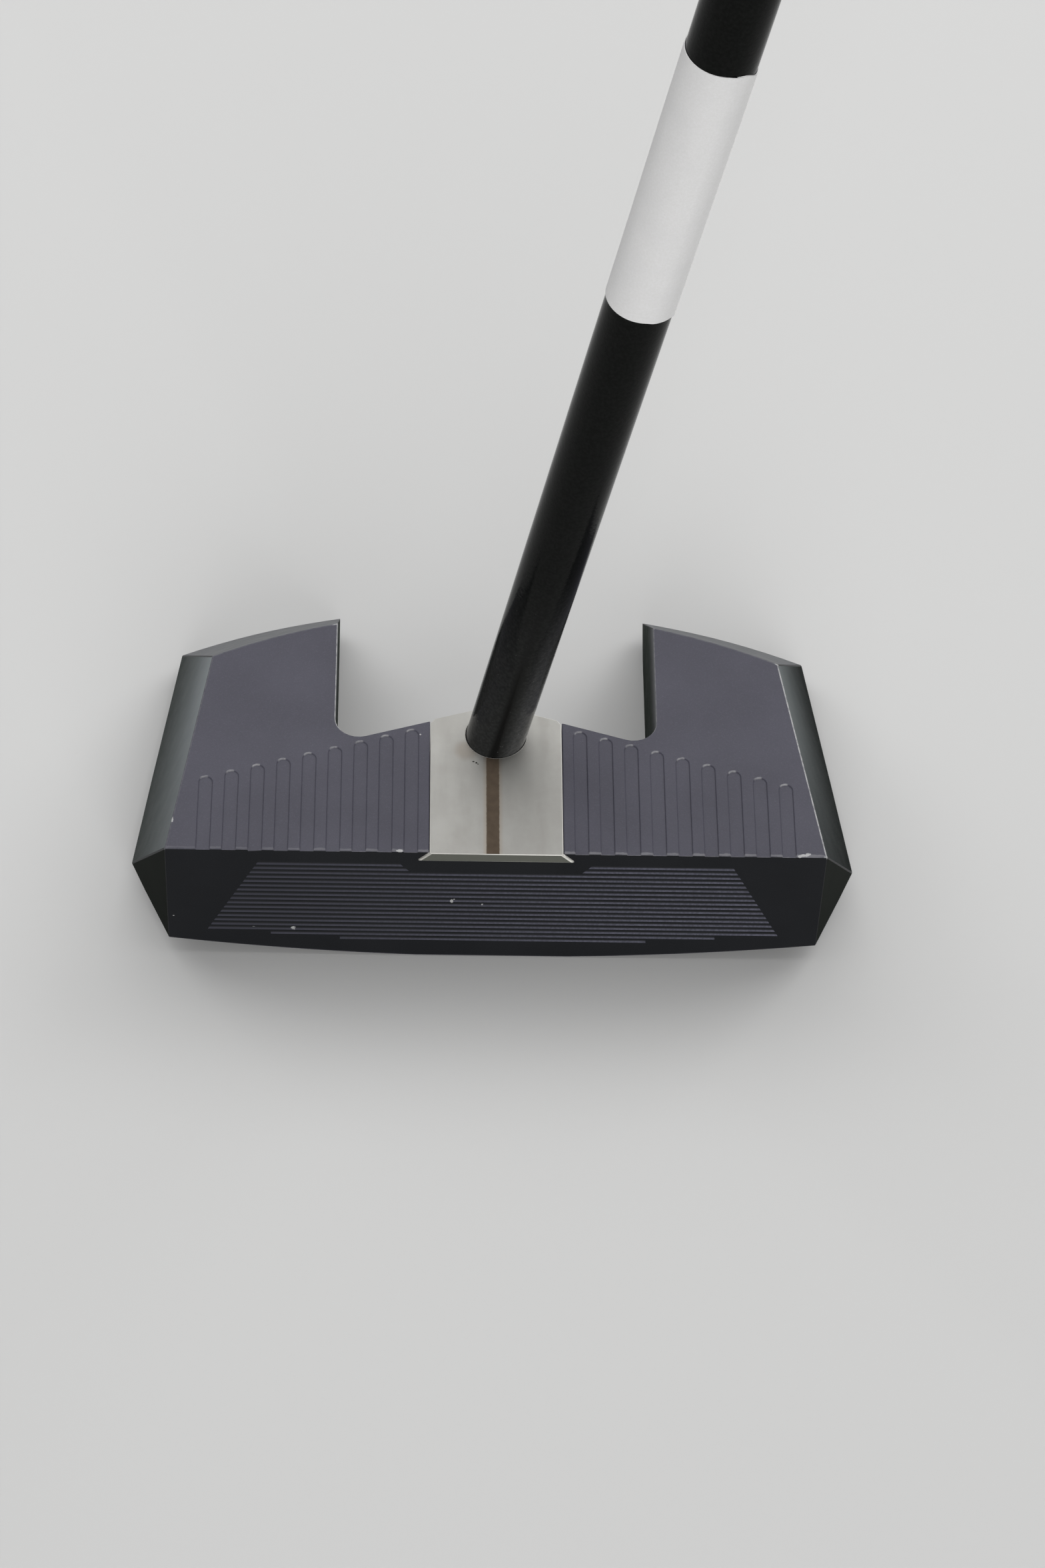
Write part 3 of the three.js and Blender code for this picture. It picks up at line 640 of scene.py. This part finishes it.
def soft_step(value, low, high):
    """A soft step from 0 to 1 while the value goes from low to high."""
    share = np.clip((value - low) / (high - low), 0, 1)
    return share * share * (3 - 2 * share)


def soft_switch(value):
    """0 well below zero, 1 well above it and a smooth change between them."""
    return 1 / (1 + np.exp(-value))


def turn(steps):
    """Even angles once round."""
    return np.linspace(0, 2 * math.pi, steps, endpoint=False)


def shaft_radius(t):
    """The radius grows in a straight line from the tip to the butt."""
    return TIP_RADIUS + (BUTT_RADIUS - TIP_RADIUS) * (t - SHAFT_TIP_T) / (SHAFT_BUTT_T - SHAFT_TIP_T)


def shaft():
    """A tapered tube: up the outside with a small chamfer at each end, and down the inside."""
    up = np.concatenate([[SHAFT_TIP_T, SHAFT_TIP_T + SHAFT_CHAMFER],
                         np.linspace(0, SHAFT_BUTT_T - SHAFT_CHAMFER, 30), [SHAFT_BUTT_T]])
    down = up[::-1]
    outer = shaft_radius(up)
    outer[[0, -1]] -= SHAFT_CHAMFER
    inner = shaft_radius(down) - SHAFT_WALL
    t = np.concatenate([up, down])
    radius = np.concatenate([outer, inner])
    points = on_shaft(radius[:, None], turn(96), t[:, None])
    return piece("shaft_tube", points, black_paint(), "shaft")


def label():
    """A strip of paper wound once round the shaft: its section is a thin rectangle carried round the
    shaft, and past a full turn it climbs over its own start by the paper's thickness. Its free end
    lifts a little, and its top edge dips on the heel side, where it was cut askew."""
    length = 40
    climb_turn = 0.25
    lift_turn = 0.16
    lift_height = 0.12
    ripple_height = 0.018
    wind = np.linspace(0, 2 * math.pi + LABEL_OVERLAP, 150)[:, None]
    up = np.linspace(0, 1, length)
    share = np.concatenate([up, up[::-1]])
    out = np.concatenate([np.full(length, LABEL_THICKNESS), np.zeros(length)])
    climb = soft_step(wind, 2 * math.pi - climb_turn, 2 * math.pi) * (LABEL_THICKNESS + 0.03)
    lift = lift_height * np.clip((wind - wind[-1] + lift_turn) / lift_turn, 0, 1) ** 2
    skew = 0.18 * np.sin(wind + 0.6) + 0.05 * np.sin(3 * wind + 1)
    ripple = ripple_height * np.sin(4 * wind + 5 * share) * np.sin(3.3 * share)
    angle = LABEL_FREE_EDGE - LABEL_OVERLAP + wind
    from_heel = np.degrees(np.mod(angle + math.pi, 2 * math.pi) - math.pi)
    dip = LABEL_DIP * soft_step(from_heel, -60, -15) * (1 - soft_step(from_heel, 20, 70))
    t = LABEL_START + (LABEL_END - LABEL_START - dip) * share + skew
    radius = shaft_radius(t) + LABEL_GAP + out + climb + lift + ripple
    points = on_shaft(radius, angle, t)
    return piece("bare_label", points, label_paper(), "shaft_label", ring=False)


def grip_radius(t):
    """The radius grows in a straight line from the mouth to the butt."""
    share = (t - GRIP_START) / (GRIP_END - GRIP_START)
    return GRIP_MOUTH_RADIUS + (GRIP_BUTT_RADIUS - GRIP_MOUTH_RADIUS) * share


def grip_section(angle, t, inset=0.0):
    """A circle with a flat thumb side towards the toe: the circle and the flat are joined by a
    high-power mean, which rounds the two corners between them."""
    radius = grip_radius(t)
    flat = GRIP_FLAT_SHARE * radius / np.maximum(-np.cos(angle), 1e-3)
    power = 22    # higher makes the two corners crisper
    return (radius ** -power + flat ** -power) ** (-1 / power) - inset


def grip_skin():
    """Up the outside from a rounded mouth, over the top edge and down the inside. The thumb side
    has a shallow panel, and a raised seam runs up the heel side."""
    round_steps = np.linspace(math.pi / 2, 0, 7)
    mouth_t = GRIP_START + MOUTH_ROUNDING * (1 - np.sin(round_steps))
    mouth_inset = MOUTH_ROUNDING * (1 - np.cos(round_steps))
    body_t = np.linspace(GRIP_START + MOUTH_ROUNDING, CAP_START - 0.3, 300)[1:]
    inner_t = body_t[::-6]    # the hidden inside needs fewer rows
    t = np.concatenate([mouth_t, body_t, inner_t, [GRIP_START]])[:, None]
    inset = np.concatenate([mouth_inset, 0 * body_t, np.full(len(inner_t) + 1, GRIP_WALL)])[:, None]
    angle = turn(180)
    radius = grip_section(angle, t, inset)
    outside = inset == 0
    side_fade = 0.02
    end_fade = 0.7
    across = soft_switch((PANEL_HALF_TURN - np.abs(angle - math.pi)) / side_fade)
    lengthwise = soft_switch((t - PANEL_START) / end_fade) * soft_switch((PANEL_END - t) / end_fade)
    radius = radius - PANEL_DEPTH * outside * across * lengthwise
    from_seam = np.minimum(angle, 2 * math.pi - angle)
    radius = radius + SEAM_HEIGHT * outside * np.exp(-(from_seam / SEAM_HALF_TURN) ** 2)
    points = on_shaft(radius, angle, t)
    return piece("grip_outer", points, grip_rubber(), "grip_skin")


def grip_core():
    """A foam sleeve: flat-sided outside, round inside, with its lower end just inside the mouth."""
    up = np.linspace(GRIP_START + 0.6, CAP_START - 0.4, 24)
    t = np.concatenate([up, up[::-1]])[:, None]
    angle = turn(96)
    outer = grip_section(angle, t, GRIP_WALL + CORE_GAP)
    inner = shaft_radius(t) + TAPE_SPACE + 0 * angle
    is_outer = (np.arange(len(t)) < len(up))[:, None]
    points = on_shaft(np.where(is_outer, outer, inner), angle, t)
    foam = plain_rubber("closed_cell_foam", (0.028, 0.028, 0.03), 0.4, 0.06)
    return piece("grip_foam", points, foam, "grip_core")


def grip_cap():
    """A crowned end cap with a vent: rings that follow the grip's section at its rim and turn into
    the round vent in the middle."""
    share, height = np.array(CAP_PROFILE).T[:, :, None]
    t = CAP_START + height
    angle = turn(128)
    rim = grip_section(angle, CAP_START + 0 * t)
    points = on_shaft(VENT_RADIUS + (rim - VENT_RADIUS) * share, angle, t)
    rubber = plain_rubber("cap_rubber", (0.02, 0.02, 0.021), 0.25, 0.02)
    return piece("grip_end_cap", points, rubber, "grip_cap", sharp=CAP_CRISP)


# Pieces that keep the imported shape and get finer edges

def merged_copy(node):
    """The node's shape with its loose triangles joined and its flat areas each made one face."""
    body = bmesh.new()
    body.from_mesh(frame["nodes"][node].data)
    bmesh.ops.remove_doubles(body, verts=body.verts, dist=2e-6)
    bmesh.ops.dissolve_degenerate(body, edges=body.edges, dist=1e-6)
    bmesh.ops.dissolve_limit(body, angle_limit=math.radians(0.15), verts=body.verts, edges=body.edges)
    return body


def dressed(node, name, finishes, area_of, share_of, width, sharp):
    """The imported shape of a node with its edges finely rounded. The finishes are named after areas:
    each face gets the one of its area, the rounded edges get "edges" if there is one, and the area
    "face" is shaded flat. Each edge gets its share of the full width of the rounding."""
    names = list(finishes)
    body = merged_copy(node)
    weights = body.edges.layers.float.new("bevel_weight_edge")
    for edge in body.edges:
        if len(edge.link_faces) == 2:
            edge[weights] = share_of(edge, edge.calc_face_angle(0.0))
    for face in body.faces:
        face.material_index = names.index(area_of(face))
    mesh = bpy.data.meshes.new(name)
    body.to_mesh(mesh)
    body.free()
    made = finished(name, mesh, finishes.values(), node, sharp)
    for part in mesh.polygons:
        part.use_smooth = names[part.material_index] != "face"
    bevel = made.modifiers.new("edges", "BEVEL")
    bevel.limit_method = "WEIGHT"
    bevel.width = width * MM
    bevel.segments = 3
    bevel.miter_outer = "MITER_ARC"
    bevel.use_clamp_overlap = False
    if "edges" in finishes:
        bevel.material = names.index("edges")
    flats = made.modifiers.new("flats", "WEIGHTED_NORMAL")
    flats.keep_sharp = True
    flats.weight = 100    # the largest faces decide the shading beside them
    return made


def behind_floor_line(place):
    """How far a place in millimetres lies behind the line of the notch floor."""
    return place.y - NOTCH_FLOOR_Y + NOTCH_SLOPE * (abs(place.x) - BLOCK_HALF)


def head_edge(edge, angle):
    """The share of the rounding that an edge of the head gets, from its place and the angle between
    its faces. The edges of the milled lines stay crisp."""
    middle = (edge.verts[0].co + edge.verts[1].co) / 2 / MM
    aside = abs(middle.x)
    corner = CROWN_FRONT_HALF - 0.3
    at_front = middle.y < GROOVE_BACK_Y
    in_notch = aside < NOTCH_HALF + 0.1 and middle.y > -2
    milled = at_front and aside < corner and MILLED_LOW_Z < middle.z < MILLED_HIGH_Z
    if milled or angle < HEAD_ROUNDED_FROM:
        return ROUND_SHARE["none"]
    if middle.z < SOLE_EDGE_Z:
        if aside > CROWN_FRONT_HALF - 2 or middle.y > CROWN_REAR_Y + 16 or middle.y < FACE_Y + 0.5:
            return ROUND_SHARE["sole outside"]
        return ROUND_SHARE["sole in the notch" if in_notch else "sole inside"]
    slotted = SLOT_FIRST_X - 2 < aside < CROWN_REAR_HALF + 2 and middle.z > HEAD_HEIGHT - 0.4
    if slotted and middle.y < 3 - SLOT_REAR_MARGIN and behind_floor_line(middle) < -0.3:
        return ROUND_SHARE["slot edge" if middle.z > HEAD_HEIGHT - 0.05 else "slot floor"]
    if at_front and aside > corner and middle.z < HEAD_HEIGHT - 1:
        return ROUND_SHARE["facet"]
    return ROUND_SHARE["notch" if in_notch else "elsewhere"]


def head_area(face):
    """The area of the head that a face belongs to, from its place and the way it looks."""
    middle = face.calc_center_median() / MM
    aside = abs(middle.x)
    back = face.normal.y
    up = face.normal.z
    if back < -0.3 and aside > CROWN_FRONT_HALF:
        return "facets"
    if back < -0.3 and middle.y < GROOVE_BACK_Y:
        return "groove flanks" if up > 0.3 else "face"
    if 0.3 < up < 0.9 and aside > NOTCH_HALF:
        return "rear" if back > 0.4 else "toe side" if middle.x < 0 else "heel side"
    if abs(up) < 0.1 and aside < NOTCH_HALF + 0.1 and behind_floor_line(middle) > -0.2:
        return "notch walls"
    return "top and rest"


def head():
    """The head, with a finish of its own for each area that catches the light in its own way, carrying
    painted light and shade for it.
    """
    finishes = {
        "top and rest": blasted_anodise(),
        "edges": arris_wear_and_highlight(),
        # Besides the top: the face, and darker still the corner facets, carry painted shade; the groove
        # flanks a painted highlight; the toe and heel sides and the notch walls painted light near the top
        # edge and painted shade low down, the heel side darker than the toe side; the rear is painted lighter
        # than the top all over.
        "face": milled_face_and_painted_shade("milled_face_and_painted_shade", MILLED_AND_PAINTED_SHADE, 1.12),
        "groove flanks": groove_flank(),
        "toe side": anodise_with_painted_light_and_shade("toe_anodise_painted_light_and_shade", (0.03, 0.037, 0.034), (0.3, 0.33, 0.345), 2.0, 0.53, 1.1),
        "rear": anodise_with_painted_light_and_shade("rear_anodise_painted_light", (0.125, 0.129, 0.137), (0.135, 0.14, 0.148), 1.0, 1.0, 1.3),
        "notch walls": anodise_with_painted_light_and_shade("notch_anodise_painted_light_and_shade", (0.011, 0.018, 0.013), (0.29, 0.295, 0.315),
                                      6.0, 1.0, 1.05),
        "facets": milled_face_and_painted_shade("facet_anodise_painted_shade", (0.0105, 0.0125, 0.0105), 1.05),
        "heel side": anodise_with_painted_light_and_shade("heel_anodise_painted_light_and_shade", (0.002, 0.004, 0.003), (0.205, 0.225, 0.228),
                                    2.0, 0.24, 1.03)}
    return dressed("head_body", "head_shell", finishes, head_area, head_edge,
                   HEAD_ROUNDING, PACKED_CRISP)


def block_edge(edge, angle):
    """The mitred edges at the ends of the lip get the full rounding, and the other edges less."""
    first, second = (vert.co / MM for vert in edge.verts)
    before_face = max(first.y, second.y) < FACE_Y
    mitred = before_face and abs(first.x - second.x) > 1 and abs(first.z - second.z) > 1
    return 0.0 if angle < BLOCK_ROUNDED_FROM else 1.0 if mitred else 0.3


def block_area(face):
    """The front of the lip is its own area, and the lip's slanting ends get the edges' painted highlight."""
    middle = face.calc_center_median() / MM
    up = face.normal.z
    at_lip = middle.y < FACE_Y + 0.1 and middle.z < HEAD_HEIGHT - 0.1
    return "steel" if not at_lip or up < -0.5 else "edges" if up > 0.4 else "lip"


def block():
    """The steel block, with a painted highlight on its rounded edges and the lip's ends, and painted
    shade on the lip front.
    """
    finishes = {"steel": satin_steel(),
                "edges": steel_painted_lighter_to_heel("steel_edge_painted_highlight", (0.5, 0.49, 0.455), (0.8, 0.79, 0.74), 0.0),
                "lip": steel_painted_lighter_to_heel("lip_steel_painted_shade", (0.2, 0.206, 0.178), (0.205, 0.211, 0.184), 1.0)}
    return dressed("center_block", "steel_block", finishes, block_area, block_edge,
                   BLOCK_ROUNDING, PACKED_CRISP)


def plug_edge(edge, angle):
    return 1.0 if angle > PLUG_ROUNDED_FROM else 0.0


def sole_piece(node, finish):
    return dressed(node, node + "_dressed", {"all": finish}, lambda face: "all", plug_edge,
                   PLUG_ROUNDING, PLUG_CRISP)


head()
block()
shaft()
label()
grip_skin()
grip_core()
grip_cap()

screw_finish = sole_steel("black_oxide", (0.05, 0.05, 0.053), 0.38)
weight_finish = sole_steel("sintered_metal", (0.3, 0.3, 0.31), 0.42)
for number in range(1, 5):
    sole_piece(f"block_screw_{number}", screw_finish)
    for end in ("toe", "heel"):
        sole_piece(f"sole_weight_{end}_{number}", weight_finish)

for node, finish in (("shaft_tip_plug", plain_rubber("plug_rubber", (0.06, 0.05, 0.045), 0.5, 0.05)),
                     ("grip_tape", cloth_tape())):
    for material_slot in frame["nodes"][node].material_slots:
        material_slot.material = finish


# Floor, light and camera

def floor():
    """A pale floor under the club, wide enough to fill the view. It looks pale but throws little
    light back on the club."""
    seen = (0.6, 0.6, 0.595)
    mirrored = (0.53, 0.53, 0.525)
    thrown = (0.17, 0.17, 0.165)
    half = 30.0
    mesh = bpy.data.meshes.new("floor")
    mesh.from_pydata([(-half, -half, 0), (half, -half, 0), (half, half, 0), (-half, half, 0)], [],
                     [(0, 1, 2, 3)])
    finish = Finish("pale_floor", mirrored, 0.9, 0.0, Specular_IOR_Level=0.1)
    ray = finish.node("ShaderNodeLightPath")
    in_mirror = finish.largest(ray.outputs["Is Glossy Ray"], ray.outputs["Is Transmission Ray"])
    unseen = finish.blend(in_mirror, thrown, mirrored)
    finish.color(finish.blend(ray.outputs["Is Camera Ray"], unseen, seen))
    mesh.materials.append(finish.material)
    made = placed("floor", mesh)


def world():
    """Even light from all round, which looks paler behind the club than it shines."""
    shining = 0.25
    looking = 0.6
    made = bpy.data.worlds.new("studio")
    made.use_nodes = True
    bpy.context.scene.world = made
    background = made.node_tree.nodes["Background"]
    background.inputs["Color"].default_value = (1, 1, 1, 1)
    ray = made.node_tree.nodes.new("ShaderNodeLightPath")
    strength = made.node_tree.nodes.new("ShaderNodeMapRange")
    strength.inputs["To Min"].default_value = shining
    strength.inputs["To Max"].default_value = looking
    made.node_tree.links.new(ray.outputs["Is Camera Ray"], strength.inputs["Value"])
    made.node_tree.links.new(strength.outputs[0], background.inputs["Strength"])


def aimed(direction):
    """The rotation of a light that shines along a direction."""
    return Vector(direction).to_track_quat("-Z", "Y").to_euler()


def lamp(name, place, size, power):
    """A square soft light at a place in metres, turned towards the head."""
    light = bpy.data.lights.new(name, "AREA")
    light.size = size
    light.energy = power
    made = placed(name, light)
    made.location = place
    made.rotation_euler = aimed(-Vector(place))


def front_light(power):
    """A broad, far light from the front and a little above, for the upright faces."""
    light = bpy.data.lights.new("front", "SUN")
    light.energy = power
    light.angle = math.radians(40)
    made = placed("front", light)
    made.rotation_euler = aimed((-0.1, 0.92, -0.4))


def camera():
    """Placed as fitted: it looks ahead along its pitch and turn, and is rolled round that line."""
    pitch, turned, roll = (math.radians(angle) for angle in (CAMERA_PITCH, CAMERA_TURN, CAMERA_ROLL))
    ahead = Vector((math.sin(turned) * math.cos(pitch), math.cos(turned) * math.cos(pitch), -math.sin(pitch)))
    level = Vector((math.cos(turned), -math.sin(turned), 0))
    upward = level.cross(ahead)
    right = level * math.cos(roll) + upward * math.sin(roll)
    up = upward * math.cos(roll) - level * math.sin(roll)
    made = placed("camera", bpy.data.cameras.new("camera"))
    made.data.sensor_width = SENSOR
    made.data.lens = FOCAL_PIXELS / IMAGE_PIXELS * SENSOR
    made.data.clip_start = 0.01
    turned_to = Matrix((right, up, -ahead)).transposed()
    made.matrix_world = Matrix.Translation(Vector(CAMERA_PLACE) * MM) @ turned_to.to_4x4()
    bpy.context.scene.camera = made


floor()
world()
lamp("above", (0.1, 0.7, 1.8), 2.4, 22)
lamp("right", (1.2, 0.8, 1.1), 1.0, 8)
lamp("left", (-1.2, 0.9, 1.1), 1.0, 7)
front_light(1.75)
camera()
bpy.context.scene.view_settings.view_transform = "Standard"
